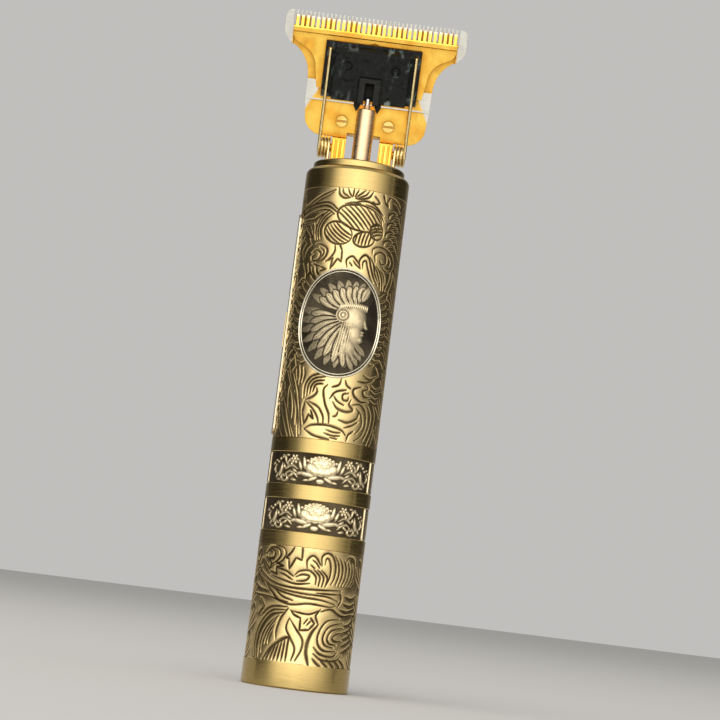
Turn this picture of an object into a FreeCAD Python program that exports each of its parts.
import FreeCAD, Part
import math
import os

# Cordless barber trimmer with a T-shaped blade, standing on its flat base.
# Millimetres, +Z up. The origin is the centre of the bottom face. The oval badge faces -Y and the
# power switch is on the -X side. The blade head leans forward over the badge. Blade parts are drawn
# upright in head axes, x across the blade, y to the rear and z from the blade screws to the tooth
# tips, with y = 0 on the ground faces where the two blades meet.

V = FreeCAD.Vector
Z_AXIS = V(0, 0, 1)

# Sleeve
TUBE_R = 12.0
END_RING_R = 12.12
TUBE_BORE_R = 10.95
RING_TOP = 5.6
TUBE_TOP = 118.0
SHOULDER_R = 1.3
MOUTH_R = 9.75
MOUTH_Z = 116.5
BAND_DEPTH = 0.3
BANDS = ((34.4, 41.6), (44.9, 52.0))

# Badge
BADGE_Z = 81.75
BADGE_HALF = (9.6, 12.55)
BADGE_RIM_W = 1.1
BADGE_RIM_R = 12.45
BADGE_FIELD_R = 12.15

# Power switch
PLATE_R = 12.45
PLATE_HALF_DEG = 14.3
PLATE_Z = (56.0, 107.0)
SWITCH_Z = 80.0
SWITCH_TRAVEL = 4.0
SLIDER_SIZE = (3.2, 8.0)
SLIDER_GAP = 0.25
POST_SIZE = (1.9, 3.0)
KNOB_SIZE = 1.2

# Neck
COLLAR_R = 10.6
COLLAR_Z = (118.15, 119.7)
SPIGOT_Z = 110.8
BRACKET_R = 10.3
BRACKET_SCREW = 4.9
POST_OUT = 7.2
WINDOW_HALF = 3.9
POST_FRONT = 3.4
POST_REAR = 9.9
POST_FRONT_TOP = 127.2
POST_REAR_TOP = 130.8
POST_RIBS = (4.5, 5.6, 6.7)

# Head placement
HEAD_LEAN = 20.0
HEAD_SEAT = V(0, 4.6, 131.55)

# Fixed blade, in head axes
PLATE_THICK = 1.6
RELIEF = 0.3
TOOTH_TIP = 24.4
FIXED_TEETH = 39
FIXED_PITCH = 0.98
FIXED_GAP = 0.42
FIXED_ROOT = 21.0
RAIL = (4.3, 9.0)
SCREW_X = 5.5

# Moving blade and its driver, in head axes
BLADE_GAP = 0.03
MOVING_HALF = 19.1
MOVING_TIP = 23.4
MOVING_TEETH = 32
MOVING_PITCH = 1.19
MOVING_GAP = 0.5
LEG_OUT = 12.4
WINDOW = (11.2, 18.45)
DRIVER_HALF = 11.15
DRIVER_BLOCK_HALF = 8.7
DRIVER_FLOOR = 1.4
DRIVER_FACE = 3.2
FORK_FACE = 4.4
FORK_HALF = 2.45
SLOT_HALF = 1.05
FORK_TOP = 11.3
SLOT_TOP = 9.9

# Eccentric drive
THROW = 1.0
SHAFT_R = 1.0
SLEEVE_R = 2.2
SLEEVE_Z = (112.0, 133.6)
PIN_ROOT_R = (0.85, 0.6)
PIN_ROOT_TOP = 134.6
PIN_R = 0.5
PIN_Z = (128.3, 136.2)
SHAFT_TOP = 122.0

# Blade springs: the coil centre is upright, and the arm end is (height over the blade, z) in head axes
WIRE_R = 0.35
SPRING_PIN_R = 1.0
COIL_R = 2.3
COIL_PITCH = 0.78
COIL_Y = 4.5
COIL_Z = 124.95
ARM_X = 10.05
ARM_END = (2.2, 16.6)
TIP_DEPTH = 1.5
LEG_LOW = 118.6

# Motor
MOTOR_R = 10.2
MOTOR_FLAT = 7.7
MOTOR_Z = (82.0, 108.0)
MOTOR_WALL = 0.5
BUSH_R = 2.0
BUSH_BORE_R = 1.04

# Chassis, battery and board
CHASSIS_R = (10.3, 10.85)
CHASSIS_Z = (12.0, 115.1)
CELL_R = 7.0
CELL_X = 2.5
CELL_Z = (16.0, 66.0)
BOARD_X = (-8.95, -7.95)
BOARD_HALF = 4.6
BOARD_Z = (15.0, 104.0)
LEAD_R = 0.45


# ---------------------------------------------------------------- helpers

def cyl(r, z0, z1, x=0.0, y=0.0):
    """Upright cylinder."""
    return Part.makeCylinder(r, z1 - z0, V(x, y, z0), Z_AXIS)


def tube(r_out, r_in, z0, z1, x=0.0, y=0.0):
    """Upright hollow cylinder."""
    return cyl(r_out, z0, z1, x, y).cut(cyl(r_in, z0 - 1, z1 + 1, x, y))


def block(x0, x1, y0, y1, z0, z1):
    """Box given by its limits."""
    return Part.makeBox(x1 - x0, y1 - y0, z1 - z0, V(x0, y0, z0))


def rod(start, end, r):
    """Cylinder from one point to another."""
    return Part.makeCylinder(r, (end - start).Length, start, end - start)


def cone(base, r0, top, r1):
    """Solid between two level circles whose centres need not be in line."""
    rings = [Part.Wire(Part.makeCircle(r, c, Z_AXIS)) for c, r in ((base, r0), (top, r1))]
    return Part.makeLoft(rings, True)


def prism_x(outline, x0, x1):
    """Solid of a closed (y, z) outline between two x values."""
    wire = Part.makePolygon([V(x0, y, z) for y, z in outline + outline[:1]])
    return Part.Face(wire).extrude(V(x1 - x0, 0, 0))


def prism_y(edges, y0, y1):
    """Solid of a closed loop of edges drawn in the plane y = y0."""
    return Part.Face(Part.Wire(edges)).extrude(V(0, y1 - y0, 0))


def lines_xz(points, y):
    """Straight edges through (x, z) points at depth y."""
    spots = [V(x, y, z) for x, z in points]
    return [Part.makeLine(a, b) for a, b in zip(spots, spots[1:])]


def arc_xz(a, b, c, y):
    """Arc through three (x, z) points at depth y."""
    return Part.Arc(*[V(x, y, z) for x, z in (a, b, c)]).toShape()


def revolved(profile):
    """Solid of revolution of a closed (r, z) outline about Z."""
    wire = Part.makePolygon([V(r, 0, z) for r, z in profile + profile[:1]])
    return Part.Face(wire).revolve(V(0, 0, 0), Z_AXIS, 360)


def both_sides(shape):
    """The shape and its mirror image across x = 0."""
    return [shape, shape.mirror(V(0, 0, 0), V(1, 0, 0))]


def leaned(shape):
    """A shape in head axes, leaned and seated on the neck."""
    out = shape.copy()
    out.rotate(V(0, 0, 0), V(1, 0, 0), HEAD_LEAN)
    out.translate(HEAD_SEAT)
    return out


def head_point(x, y, z):
    """A point in head axes, leaned and seated on the neck."""
    lean = math.radians(HEAD_LEAN)
    local = V(x, y * math.cos(lean) - z * math.sin(lean), y * math.sin(lean) + z * math.cos(lean))
    return local + HEAD_SEAT


def save(name, *solids):
    """Write one node, made of one or more separate solids."""
    shape = solids[0] if len(solids) == 1 else Part.makeCompound(list(solids))
    if not shape.isValid() or not shape.Solids:
        raise ValueError(name + " is not a valid solid")
    shape.exportStep(os.path.join("parts", name + ".step"))


def slotted_screw(head_r, head_h, shank_r, length, slot=0.5):
    """Screw with its head's underside at the origin and its shank along -Z."""
    screw = cyl(head_r, 0, head_h).fuse(cyl(shank_r, -length, 0))
    cut = block(-head_r, head_r, -slot / 2, slot / 2, head_h * 0.5, head_h + 1)
    return screw.removeSplitter().cut(cut)


def aimed(shape, position, direction):
    """A shape drawn along +Z, put at a position and pointed along a direction."""
    out = shape.copy()
    out.Placement = FreeCAD.Placement(position, FreeCAD.Rotation(Z_AXIS, direction))
    return out


def lead(points, r, bend):
    """Insulated wire: straight runs joined by tangent arcs of one bend radius."""
    spots = [V(*p) for p in points]
    edges = []
    start = spots[0]
    for before, corner, after in zip(spots, spots[1:], spots[2:]):
        back = (before - corner).normalize()
        ahead = (after - corner).normalize()
        half = back.getAngle(ahead) / 2
        reach = bend / math.tan(half)
        middle = corner + (back + ahead).normalize() * (bend / math.sin(half) - bend)
        first = corner + back * reach
        last = corner + ahead * reach
        edges += [Part.makeLine(start, first), Part.Arc(first, middle, last).toShape()]
        start = last
    edges.append(Part.makeLine(start, spots[-1]))
    section = Part.Wire(Part.makeCircle(r, spots[0], spots[1] - spots[0]))
    return Part.Wire(edges).makePipeShell([section], True, True)


def motor_outline(r, flat, z0, z1):
    """Round bar with two flats on the X sides."""
    return cyl(r, z0, z1).common(block(-flat, flat, -r - 1, r + 1, z0, z1))


# ---------------------------------------------------------------- sleeve and base

def make_body_tube():
    profile = [(TUBE_BORE_R, RING_TOP), (TUBE_R, RING_TOP)]
    for low, high in BANDS:
        inner = TUBE_R - BAND_DEPTH
        profile += [(TUBE_R, low), (inner, low), (inner, high), (TUBE_R, high)]
    steps = 8
    for i in range(steps + 1):
        turn = math.pi / 2 * i / steps
        profile.append((TUBE_R - SHOULDER_R * (1 - math.cos(turn)),
                        TUBE_TOP - SHOULDER_R * (1 - math.sin(turn))))
    profile += [(MOUTH_R, TUBE_TOP), (MOUTH_R, MOUTH_Z), (TUBE_BORE_R, MOUTH_Z)]
    slot_w = POST_SIZE[0] / 2 + SLIDER_GAP
    slot_low = SWITCH_Z - POST_SIZE[1] / 2 - SLIDER_GAP
    slot_high = SWITCH_Z + POST_SIZE[1] / 2 + SWITCH_TRAVEL + SLIDER_GAP
    slot = block(-TUBE_R - 1, -TUBE_BORE_R + 1, -slot_w, slot_w, slot_low, slot_high)
    save("body_tube", revolved(profile).cut(slot))


def oval(half_w, half_h, y0, y1):
    """Elliptic bar along Y at the badge's height."""
    ellipse = Part.Ellipse(V(0, y0, BADGE_Z + half_h), V(half_w, y0, BADGE_Z), V(0, y0, BADGE_Z))
    return Part.Face(Part.Wire([ellipse.toShape()])).extrude(V(0, y1 - y0, 0))


def make_badge():
    half_w, half_h = BADGE_HALF
    outer = oval(half_w, half_h, -TUBE_R - 1, 0)
    inner = oval(half_w - BADGE_RIM_W, half_h - BADGE_RIM_W, -TUBE_R - 1, 0)
    low = BADGE_Z - half_h - 1
    high = BADGE_Z + half_h + 1
    save("badge_rim", tube(BADGE_RIM_R, TUBE_R, low, high).common(outer).cut(inner))
    save("badge_field", tube(BADGE_FIELD_R, TUBE_R, low, high).common(inner))


def side_sector(r_out, r_in, half_deg, z0, z1):
    """Part of a tube wall centred on the -X side."""
    ring = tube(r_out, r_in, z0, z1)
    reach = r_out + 2
    spread = reach * math.tan(math.radians(half_deg))
    wedge = Part.makePolygon([V(0, 0, z0), V(-reach, -spread, z0), V(-reach, spread, z0), V(0, 0, z0)])
    return ring.common(Part.Face(wedge).extrude(V(0, 0, z1 - z0)))


def make_switch():
    low, high = PLATE_Z
    plate = side_sector(PLATE_R, TUBE_R, PLATE_HALF_DEG, low, high)
    corners = [e for e in plate.Edges if abs(e.Length - (PLATE_R - TUBE_R)) < 0.02]
    plate = plate.makeFillet(1.4, corners)
    slide_w, slide_h = SLIDER_SIZE
    window = block(-PLATE_R - 1, -TUBE_R + 2, -slide_w / 2 - SLIDER_GAP, slide_w / 2 + SLIDER_GAP,
                   SWITCH_Z - slide_h / 2 - SLIDER_GAP,
                   SWITCH_Z + slide_h / 2 + SWITCH_TRAVEL + SLIDER_GAP)
    save("switch_plate", plate.cut(window))

    running = 0.05
    skin = tube(PLATE_R + 0.1, TUBE_R + running, SWITCH_Z - slide_h / 2, SWITCH_Z + slide_h / 2)
    slider = skin.common(block(-PLATE_R - 1, 0, -slide_w / 2, slide_w / 2,
                               SWITCH_Z - slide_h / 2, SWITCH_Z + slide_h / 2))
    post_w, post_h = POST_SIZE
    post = block(-TUBE_R - 0.2, -10.5, -post_w / 2, post_w / 2,
                 SWITCH_Z - post_h / 2, SWITCH_Z + post_h / 2)
    socket = block(-TUBE_R + 0.5, -10, -KNOB_SIZE / 2, KNOB_SIZE / 2,
                   SWITCH_Z - KNOB_SIZE / 2, SWITCH_Z + KNOB_SIZE / 2)
    slider = slider.fuse(post).cut(socket)
    rib_pitch = 1.1
    for i in range(-3, 4):
        z = SWITCH_Z + i * rib_pitch
        slider = slider.cut(block(-PLATE_R - 1, -PLATE_R + 0.12, -1.2, 1.2, z - 0.22, z + 0.22))
    save("switch_slider", slider.removeSplitter())

    save("switch_actuator", block(-TUBE_R + 0.5, -9.3, -KNOB_SIZE / 2, KNOB_SIZE / 2,
                                  SWITCH_Z - KNOB_SIZE / 2, SWITCH_Z + KNOB_SIZE / 2))
    middle = SWITCH_Z + SWITCH_TRAVEL / 2
    housing = block(-10.25, BOARD_X[0], -1.9, 1.9, middle - 4.6, middle + 4.6)
    track = block(-11, -9.15, -KNOB_SIZE / 2 - 0.15, KNOB_SIZE / 2 + 0.15,
                  SWITCH_Z - KNOB_SIZE / 2 - 0.3, SWITCH_Z + SWITCH_TRAVEL + KNOB_SIZE / 2 + 0.3)
    save("switch_housing", housing.cut(track))


def make_base():
    chamfer = 0.35
    bore = 10.0
    ledge = (3.0, 4.2)
    spigot_r = 10.9
    spigot_top = 9.6
    groove = (7.0, 8.4)
    groove_r = 10.3
    ring = revolved([(bore, 0), (END_RING_R - chamfer, 0), (END_RING_R, chamfer), (END_RING_R, RING_TOP),
                     (spigot_r, RING_TOP), (spigot_r, groove[0]), (groove_r, groove[0]),
                     (groove_r, groove[1]), (spigot_r, groove[1]), (spigot_r, spigot_top),
                     (bore - 0.5, spigot_top), (bore - 0.5, ledge[1]), (bore - 1, ledge[1]),
                     (bore - 1, ledge[0]), (bore, ledge[0])])
    save("end_ring", ring)
    save("end_gasket", tube(TUBE_BORE_R, groove_r, groove[0] + 0.1, groove[1] - 0.1))

    screw_x = 7.0
    insert = cyl(bore - 0.05, 0.4, ledge[0])
    for x in (-screw_x, screw_x):
        insert = insert.fuse(cyl(1.7, ledge[0] - 0.5, CHASSIS_Z[0], x))
    for x in (-screw_x, screw_x):
        insert = insert.cut(cyl(0.85, 0, CHASSIS_Z[0] + 1, x))
        insert = insert.cut(cyl(1.5, 0, 1.5, x))
    port = (9.3, 3.6)
    insert = insert.cut(pill(port, 0, ledge[0] + 1))
    guide = (0.0, -6.2)
    insert = insert.cut(cyl(1.0, 0, ledge[0] + 1, *guide))
    save("end_insert", insert.removeSplitter())
    screw = slotted_screw(1.4, 0.9, 0.8, 11.9)
    save("end_screws", *[aimed(screw, V(x, 0, 1.5), V(0, 0, -1)) for x in (-screw_x, screw_x)])

    shell = (8.94, 3.26)
    wall = 0.3
    socket = pill(shell, 0.7, 7.6).cut(pill((shell[0] - 2 * wall, shell[1] - 2 * wall), 0, 7.2))
    save("charge_socket", socket)
    save("charge_tongue", block(-3.3, 3.3, -0.35, 0.35, 1.5, 7.2))
    board = block(-5.0, 5.0, -7.6, 4.0, 7.6, 8.6)
    save("charge_board", board)
    save("light_guide", cyl(1.0, 0.4, 6.6, *guide))
    save("status_led", block(-0.8, 0.8, guide[1] - 0.5, guide[1] + 0.5, 6.7, 7.6))


def pill(size, z0, z1):
    """Bar with round ends, long in X, centred on the axis."""
    long, wide = size
    flat = long / 2 - wide / 2
    body = block(-flat, flat, -wide / 2, wide / 2, z0, z1)
    for x in (-flat, flat):
        body = body.fuse(cyl(wide / 2, z0, z1, x))
    return body.removeSplitter()


# ---------------------------------------------------------------- inside the sleeve

def make_chassis():
    r_in, r_out = CHASSIS_R
    low, high = CHASSIS_Z
    shell = cyl(r_out, low, high).cut(cyl(6.0, low - 1, high))
    ribs = (22.0, 41.0, 60.0)
    floors = [low + 1.5] + [z + 1.2 for z in ribs]
    for floor, ceiling in zip(floors, [*ribs, SPIGOT_Z - 0.4]):
        shell = shell.cut(cyl(r_in, floor, ceiling))
    shell = shell.cut(cyl(CELL_R + 0.25, floors[0], CELL_Z[1], CELL_X))
    board_side = cyl(r_in, floors[0], CELL_Z[1])
    shell = shell.cut(board_side.common(block(-12, -4.6, -12, 12, floors[0], CELL_Z[1])))
    shell = shell.cut(cyl(MOUTH_R - 0.02, SPIGOT_Z - 1, high + 1))
    screw_z = 72.0
    spots = (-4.8, 7.4)
    for x in spots:
        post = rod(V(x, -r_out, screw_z), V(x, r_out, screw_z), 1.6)
        shell = shell.fuse(post.common(cyl(r_out - 0.2, low, high)))
    shell = shell.cut(block(-12, BOARD_X[0], -2.6, 2.6, SWITCH_Z - 6, SWITCH_Z + 10))
    for x in (-7.0, 7.0):
        shell = shell.cut(cyl(0.8, low - 1, low + 2, x))
    for x in spots:
        shell = shell.cut(rod(V(x, -12, screw_z), V(x, 4.6, screw_z), 0.6))
        shell = shell.cut(rod(V(x, -12, screw_z), V(x, -5.0, screw_z), 1.2))
    shell = shell.removeSplitter()
    split = 0.03
    front = shell.common(block(-13, 13, -13, -split, low - 1, high + 1))
    rear = shell.common(block(-13, 13, split, 13, low - 1, high + 1))
    save("chassis_front", front)
    save("chassis_rear", rear)
    screw = slotted_screw(1.15, 0.8, 0.6, 9.4, 0.35)
    save("chassis_screws", *[aimed(screw, V(x, -5.0, screw_z), V(0, -1, 0)) for x in spots])


def make_power():
    low, high = CELL_Z
    neck = 0.6
    can = cyl(CELL_R, low, high - neck, CELL_X).fuse(cyl(2.6, high - neck, high, CELL_X))
    save("battery_cell", can.removeSplitter())
    strip = (3.0, 0.2)
    top = block(-4.0, CELL_X + 2, -strip[0] / 2, strip[0] / 2, high, high + strip[1])
    foot = block(-4.0, CELL_X + 2, -strip[0] / 2, strip[0] / 2, low - strip[1], low)
    save("battery_tabs", top, foot)
    save("battery_pad", cyl(4.0, CHASSIS_Z[0] + 1.5, low - strip[1], CELL_X))

    x0, x1 = BOARD_X
    save("circuit_board", block(x0, x1, -BOARD_HALF, BOARD_HALF, *BOARD_Z))
    chips = [(-6.9, 3.2, 3.2, 24.0), (-7.1, 2.0, 2.4, 32.0), (-7.2, 1.6, 3.0, 46.0),
             (-6.6, 2.6, 2.6, 54.0), (-7.3, 1.0, 1.6, 58.5), (-7.3, 1.0, 1.6, 28.2)]
    save("board_components", *[block(x1, x, -w / 2, w / 2, z - h / 2, z + h / 2)
                               for x, w, h, z in chips])

    pad_x = x1 + LEAD_R
    top_z = high + strip[1] + LEAD_R
    save("battery_lead_red", lead([(-3.2, 0, top_z), (pad_x + 0.9, 0, top_z + 0.6),
                                   (pad_x, 2.6, top_z + 3.2), (pad_x, 2.6, top_z + 6.0)],
                                  LEAD_R, 1.2))
    foot_z = low - strip[1] - LEAD_R
    save("battery_lead_black", lead([(-3.2, 0, foot_z), (-5.4, 0, foot_z),
                                     (pad_x, -2.9, foot_z + 3.6), (pad_x, -2.9, foot_z + 6.4)],
                                    LEAD_R, 1.2))
    term_z = 78.4
    for name, side in (("motor_lead_red", 1), ("motor_lead_black", -1)):
        save(name, lead([(0.6, side * 6.6, term_z - 1.4), (-2.4, side * 6.7, term_z - 2.4),
                         (pad_x + 0.6, side * 3.8, term_z - 2.4), (pad_x, side * 3.8, term_z + 1.0)],
                        LEAD_R, 1.0))
    save("motor_terminals", *[block(-0.9, 0.9, s - 0.15, s + 0.15, term_z - 2.4, 80.2)
                              for s in (-6.0, 6.0)])


def make_motor():
    low, high = MOTOR_Z
    inner_r = MOTOR_R - MOTOR_WALL
    inner_flat = MOTOR_FLAT - MOTOR_WALL
    cavity = motor_outline(inner_r, inner_flat, low - 1, high - 1.0)
    boss_r, boss_top = 3.0, 110.6
    can = motor_outline(MOTOR_R, MOTOR_FLAT, low, high).fuse(cyl(boss_r, high - 0.5, boss_top))
    can = can.removeSplitter().cut(cavity).cut(cyl(BUSH_R, high - 2, boss_top + 1))
    screw_y = 6.5
    for y in (-screw_y, screw_y):
        can = can.cut(cyl(0.6, high - 2, high + 1, 0, y))
    save("motor_can", can)
    save("motor_front_bush", tube(BUSH_R, BUSH_BORE_R, high - 1.6, boss_top))

    arcs = tube(inner_r, 6.6, 86.0, 102.0).common(block(-4.5, 4.5, -12, 12, 80, 110))
    save("motor_magnets", *arcs.Solids)

    cap = motor_outline(MOTOR_R, MOTOR_FLAT, 80.2, low)
    cap = cap.fuse(motor_outline(inner_r - 0.02, inner_flat - 0.02, low - 0.2, low + 1.0))
    cap = cap.fuse(cyl(3.0, 78.8, 80.5)).removeSplitter().cut(cyl(BUSH_R, 78, 84))
    save("motor_end_cap", cap)
    save("motor_rear_bush", tube(BUSH_R, BUSH_BORE_R, 78.8, 82.4))
    save("motor_brushes", *[brush(side) for side in (-1, 1)])

    plate = motor_outline(10.2, 10.2, high, high + 1.4).cut(cyl(boss_r + 0.05, high - 1, high + 3))
    for y in (-screw_y, screw_y):
        plate = plate.cut(cyl(0.7, high - 1, high + 3, 0, y))
    save("motor_mount", plate)
    screw = slotted_screw(1.2, 0.8, 0.6, 2.2, 0.35)
    save("motor_screws", *[aimed(screw, V(0, y, high + 1.4), Z_AXIS) for y in (-screw_y, screw_y)])

    save("motor_shaft", cyl(SHAFT_R, 79.2, SHAFT_TOP))
    core = cyl(6.2, 89.0, 99.0).cut(cyl(SHAFT_R, 80, 110))
    coils = []
    for i in range(3):
        turn = 120.0 * i
        slot = block(3.2, 7.0, -0.7, 0.7, 88, 100)
        pocket = block(2.2, 5.0, -1.9, 1.9, 88, 100)
        gap = slot.fuse(pocket).removeSplitter()
        gap.rotate(V(0, 0, 0), Z_AXIS, turn)
        core = core.cut(gap)
        coil = tube(5.4, 2.0, 87.6, 88.95).common(block(0, 7, -3.0, 3.0, 87, 101))
        upper = coil.copy()
        upper.translate(V(0, 0, 99.05 - 87.6))
        for piece in (coil, upper):
            piece.rotate(V(0, 0, 0), Z_AXIS, turn + 60)
            coils.append(piece)
    save("rotor_core", core)
    save("rotor_windings", *coils)
    save("commutator", tube(2.6, SHAFT_R, 83.6, 87.0))


def brush(side):
    """Spring leaf from the end cap to the commutator, with its contact tip."""
    gap = 2.65
    y0, y1 = sorted((side * gap, side * (gap + 0.5)))
    tip = block(-0.7, 0.7, y0, y1, 84.4, 86.0)
    z0, z1 = sorted((side * gap, side * 4.6))
    arm = block(-0.7, 0.7, z0, z1, 84.1, 84.4)
    w0, w1 = sorted((side * 4.3, side * 4.6))
    return tip.fuse([arm, block(-0.7, 0.7, w0, w1, 83.0, 84.2)]).removeSplitter()


# ---------------------------------------------------------------- neck and drive

def make_neck():
    low, high = COLLAR_Z
    spigot_r = MOUTH_R - 0.05
    collar = cyl(COLLAR_R, low, high).fuse(cyl(spigot_r, SPIGOT_Z, low)).removeSplitter()
    rim = [e for e in collar.Edges if abs(e.Length - 2 * math.pi * COLLAR_R) < 0.01
           and e.CenterOfMass.z > high - 0.1]
    collar = collar.makeFillet(0.45, rim)
    collar = collar.cut(cyl(8.4, SPIGOT_Z - 1, low - 0.9)).cut(cyl(2.55, SPIGOT_Z, high + 1))
    for x in (-BRACKET_SCREW, BRACKET_SCREW):
        collar = collar.cut(cyl(0.75, SPIGOT_Z, high + 1, x, BRACKET_SCREW))
    wire_hole = cyl(0.8, SPIGOT_Z, high + 1, COIL_LEG_X, COIL_Y - COIL_R)
    for hole in both_sides(wire_hole):
        collar = collar.cut(hole)
    save("neck_collar", collar)
    save("shaft_seal", tube(2.55, SLEEVE_R + 0.08, low - 0.8, high - 0.5))

    rear_plane = PLATE_THICK
    foot = head_point(0, rear_plane, -4.0)
    brow = head_point(0, rear_plane, 4.0)
    crown = head_point(0, rear_plane + 2.8, 4.0)
    profile = [(POST_FRONT, high), (POST_FRONT, POST_FRONT_TOP), (foot.y, foot.z), (brow.y, brow.z),
               (crown.y, crown.z), (POST_REAR, POST_REAR_TOP), (POST_REAR, high)]
    bracket = prism_x(profile, -POST_OUT, POST_OUT)
    seat = leaned(block(-9.6, 9.6, rear_plane, rear_plane + 2.8, -3.6, 4.0))
    bracket = bracket.fuse(seat).common(cyl(BRACKET_R, high, 140))
    sill = head_point(0, rear_plane, -2.6).z - 0.3
    bracket = bracket.cut(block(-WINDOW_HALF, WINDOW_HALF, 0, 12, high - 1, sill))
    rib_w, rib_h = 0.55, 0.4
    for x in POST_RIBS:
        rib = block(x - rib_w / 2, x + rib_w / 2, POST_FRONT - rib_h, POST_FRONT + 0.1,
                    high, POST_FRONT_TOP - 0.3)
        bracket = bracket.fuse(both_sides(rib))
    for x in (-SCREW_X, SCREW_X):
        bracket = bracket.cut(leaned(rod(V(x, 0, 0), V(x, 4.2, 0), 0.8)))
    for x in (-BRACKET_SCREW, BRACKET_SCREW):
        bracket = bracket.cut(cyl(0.7, high - 1, high + 4.0, x, BRACKET_SCREW))
    pin = rod(V(POST_OUT - 1.0, COIL_Y, COIL_Z), V(ARM_X + WIRE_R, COIL_Y, COIL_Z), SPRING_PIN_R)
    for side in both_sides(pin):
        bracket = bracket.cut(side)
    save("neck_bracket", bracket.removeSplitter())
    save("spring_pins", *both_sides(pin))

    screw = slotted_screw(1.3, 0.7, 0.7, 5.2, 0.35)
    save("bracket_screws", *[aimed(screw, V(x, BRACKET_SCREW, low - 0.9), V(0, 0, -1))
                             for x in (-BRACKET_SCREW, BRACKET_SCREW)])


def make_drive():
    low, high = SLEEVE_Z
    sleeve = cyl(SLEEVE_R, low, high)
    shoulder = [e for e in sleeve.Edges if e.CenterOfMass.z > high - 0.01]
    root = cone(V(0, -THROW, high - 0.1), PIN_ROOT_R[0], V(0, -THROW, PIN_ROOT_TOP), PIN_ROOT_R[1])
    sleeve = sleeve.makeChamfer(0.2, shoulder).fuse(root).removeSplitter()
    pin = cyl(PIN_R, *PIN_Z, 0, -THROW)
    save("eccentric_sleeve", sleeve.cut(cyl(SHAFT_R, low - 1, SHAFT_TOP)).cut(pin))
    tip = [e for e in pin.Edges if e.CenterOfMass.z > PIN_Z[1] - 0.01]
    save("eccentric_pin", pin.makeFillet(0.2, tip))


# ---------------------------------------------------------------- blade head

def fixed_outline(y):
    """Outer loop of the fixed blade at depth y, without its teeth."""
    right = lines_xz([(WINDOW_HALF, -2.6), (WINDOW_HALF, -3.85), (9.9, -3.85)], y)
    right.append(arc_xz((9.9, -3.85), (13.1, -2.5), (14.3, 0.7), y))
    right += lines_xz([(14.3, 0.7), (14.7, RAIL[0]), (14.7, 9.4)], y)
    right.append(arc_xz((14.7, 9.4), (15.7, 13.4), (18.3, 16.3), y))
    right.append(arc_xz((18.3, 16.3), (20.5, 17.8), (21.3, 20.4), y))
    right += lines_xz([(21.3, 20.4), (21.3, 22.6)], y)
    right.append(arc_xz((21.3, 22.6), (20.8, 23.9), (19.5, TOOTH_TIP), y))
    left = [e.mirror(V(0, 0, 0), V(1, 0, 0)) for e in right]
    top = lines_xz([(19.5, TOOTH_TIP), (-19.5, TOOTH_TIP)], y)
    bottom = lines_xz([(-WINDOW_HALF, -2.6), (WINDOW_HALF, -2.6)], y)
    return Part.__sortEdges__(right + left + top + bottom)


def comb_gaps(count, pitch, gap, root, tip, y0, y1):
    """Gaps between equal teeth, round at the root."""
    cuts = []
    for i in range(count + 1):
        x = (i - count / 2) * pitch
        cuts.append(block(x - gap / 2, x + gap / 2, y0, y1, root, tip + 1))
    return Part.makeCompound(cuts)


def make_fixed_blade():
    thick = PLATE_THICK
    blade = prism_y(fixed_outline(0), 0, thick)
    bevel = prism_x([(thick + 0.1, 19.4), (0.45, TOOTH_TIP + 0.1), (thick + 0.1, TOOTH_TIP + 0.1)],
                    -22, 22)
    blade = blade.cut(bevel)
    blade = blade.cut(block(-15, 15, -0.1, RELIEF, -4.5, RAIL[0]))
    blade = blade.cut(block(-19, 19, -0.1, RELIEF, RAIL[1], 18.6))
    blade = blade.cut(block(-6.4, 6.4, -0.1, thick + 0.1, 10.0, 15.0))
    for x in (-SCREW_X, SCREW_X):
        blade = blade.cut(rod(V(x, -1, 0), V(x, thick + 1, 0), 0.9))
    blade = blade.cut(comb_gaps(FIXED_TEETH, FIXED_PITCH, FIXED_GAP, FIXED_ROOT, TOOTH_TIP, -1, 3))
    save("fixed_blade", leaned(blade))

    screw = slotted_screw(1.3, 0.75, 0.8, PLATE_THICK - RELIEF + 2.0)
    save("blade_screws", *[leaned(aimed(screw, V(x, RELIEF, 0), V(0, -1, 0)).copy())
                           for x in (-SCREW_X, SCREW_X)])


def make_moving_blade():
    rear = -BLADE_GAP
    profile = [(rear, 7.2), (-0.6, 7.2), (-0.6, 19.5), (-0.95, 19.7), (-0.95, 20.6),
               (-0.35, MOVING_TIP), (rear, MOVING_TIP)]
    plate = prism_x(profile, -20, 20)
    right = lines_xz([(LEG_OUT, 7.2), (13.1, 11.6)], 0)
    right.append(arc_xz((13.1, 11.6), (13.9, 14.3), (15.9, 16.2), 0))
    right += lines_xz([(15.9, 16.2), (17.9, 17.2)], 0)
    right.append(arc_xz((17.9, 17.2), (18.8, 18.2), (MOVING_HALF, 19.5), 0))
    right += lines_xz([(MOVING_HALF, 19.5), (MOVING_HALF, MOVING_TIP)], 0)
    left = [e.mirror(V(0, 0, 0), V(1, 0, 0)) for e in right]
    top = lines_xz([(MOVING_HALF, MOVING_TIP), (-MOVING_HALF, MOVING_TIP)], 0)
    bottom = lines_xz([(-LEG_OUT, 7.2), (LEG_OUT, 7.2)], 0)
    loop = Part.__sortEdges__(right + left + top + bottom)
    outline = prism_y([e.translated(V(0, -2, 0)) for e in loop], 0, 3)
    half, top_z = WINDOW
    blade = plate.common(outline).cut(block(-half, half, -2, 1, 7, top_z))
    notch = Part.makePolygon([V(-1.6, -2, top_z - 0.1), V(1.6, -2, top_z - 0.1), V(0, -2, top_z + 0.5),
                              V(-1.6, -2, top_z - 0.1)])
    blade = blade.cut(Part.Face(notch).extrude(V(0, 3, 0)))
    gaps = comb_gaps(MOVING_TEETH, MOVING_PITCH, MOVING_GAP, 20.9, MOVING_TIP, -2, 1)
    save("moving_blade", leaned(blade.cut(gaps)))


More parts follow.
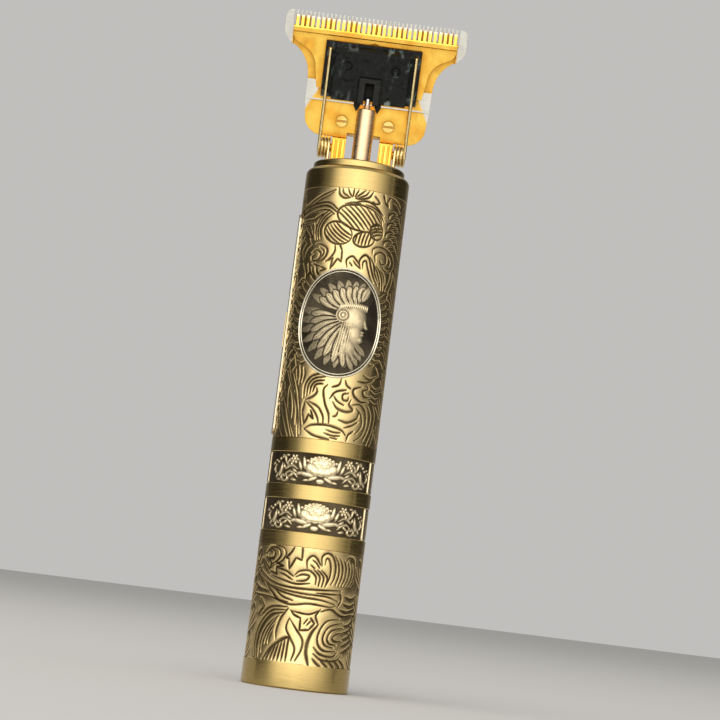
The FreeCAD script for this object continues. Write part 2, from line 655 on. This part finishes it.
def make_driver():
    floor, face, fork = -DRIVER_FLOOR, -DRIVER_FACE, -FORK_FACE
    base = block(-DRIVER_HALF, DRIVER_HALF, floor, -0.1, 5.5, 18.3)
    side = DRIVER_BLOCK_HALF
    raised = prism_x([(floor + 0.1, 5.2), (face, 5.2), (face, 16.6), (floor + 0.1, 17.9)], -side, side)
    wall = prism_x([(floor, 4.8), (fork + 0.3, 4.8), (fork, 5.1), (fork, FORK_TOP - 0.5),
                    (face, FORK_TOP)], -FORK_HALF, FORK_HALF)
    body = base.fuse([raised, wall])
    for foot in both_sides(driver_foot()):
        body = body.fuse(foot)
    body = body.removeSplitter()
    body = body.cut(block(-SLOT_HALF, SLOT_HALF, fork - 1, -1.1, 4.0, SLOT_TOP))
    for x in (-5.6, 5.6):
        body = body.cut(rod(V(x, face - 1, 13.2), V(x, face + 0.8, 13.2), 1.1))
    for x in (-ARM_X, ARM_X):
        body = body.cut(rod(V(x, floor - 1, ARM_END[1]), V(x, 0.5, ARM_END[1]), 0.52))
    save("blade_driver", leaned(body))


def driver_foot():
    """Pointed foot under one side of the drive slot."""
    points = [(1.7, 5.6), (3.2, 5.6), (3.2, 4.2), (2.5, 2.8), (1.7, 4.2), (1.7, 5.6)]
    return prism_y(lines_xz(points, -1.6), -1.6, -0.75)


# ---------------------------------------------------------------- springs

def coil_geometry():
    """Arm end, tangent point and total turn of the blade springs."""
    end = head_point(0, -ARM_END[0], ARM_END[1])
    dy = end.y - COIL_Y
    dz = end.z - COIL_Z
    reach = math.hypot(dy, dz)
    leave = math.atan2(dz, dy) + math.acos(COIL_R / reach)
    tangent = V(0, COIL_Y + COIL_R * math.cos(leave), COIL_Z + COIL_R * math.sin(leave))
    total = math.pi + 6 * math.pi - leave
    return end, tangent, total


def make_springs():
    end, tangent, total = coil_geometry()
    height = COIL_PITCH * total / (2 * math.pi)
    helix = Part.makeHelix(COIL_PITCH, height, COIL_R)
    circle = Part.Wire(Part.makeCircle(WIRE_R, V(COIL_R, 0, 0), V(0, 1, 0)))
    coil = Part.Wire(helix.Edges).makePipeShell([circle], True, True)
    coil.transformShape(FreeCAD.Matrix(0, 0, -1, -COIL_LEG_X,
                                       -1, 0, 0, COIL_Y,
                                       0, 1, 0, COIL_Z,
                                       0, 0, 0, 1))
    leg = rod(V(-COIL_LEG_X, COIL_Y - COIL_R, LEG_LOW), V(-COIL_LEG_X, COIL_Y - COIL_R, COIL_Z), WIRE_R)
    start = V(-ARM_X, tangent.y, tangent.z)
    finish = V(-ARM_X, end.y, end.z)
    arm = rod(start, finish, WIRE_R)
    tip = leaned(rod(V(-ARM_X, -ARM_END[0], ARM_END[1]),
                     V(-ARM_X, -ARM_END[0] + TIP_DEPTH, ARM_END[1]), WIRE_R))
    elbow = Part.makeSphere(WIRE_R, finish)
    joints = [Part.makeSphere(WIRE_R, V(-COIL_LEG_X, COIL_Y - COIL_R, COIL_Z)),
              Part.makeSphere(WIRE_R, start)]
    left = coil.fuse([leg, arm, tip, elbow] + joints).removeSplitter()
    for name, shape in zip(("left_spring", "right_spring"), both_sides(left)):
        save(name, shape)


COIL_LEG_X = ARM_X - COIL_PITCH * coil_geometry()[2] / (2 * math.pi)

os.makedirs("parts", exist_ok=True)
make_body_tube()
make_badge()
make_switch()
make_base()
make_chassis()
make_power()
make_motor()
make_neck()
make_drive()
make_fixed_blade()
make_moving_blade()
make_driver()
make_springs()
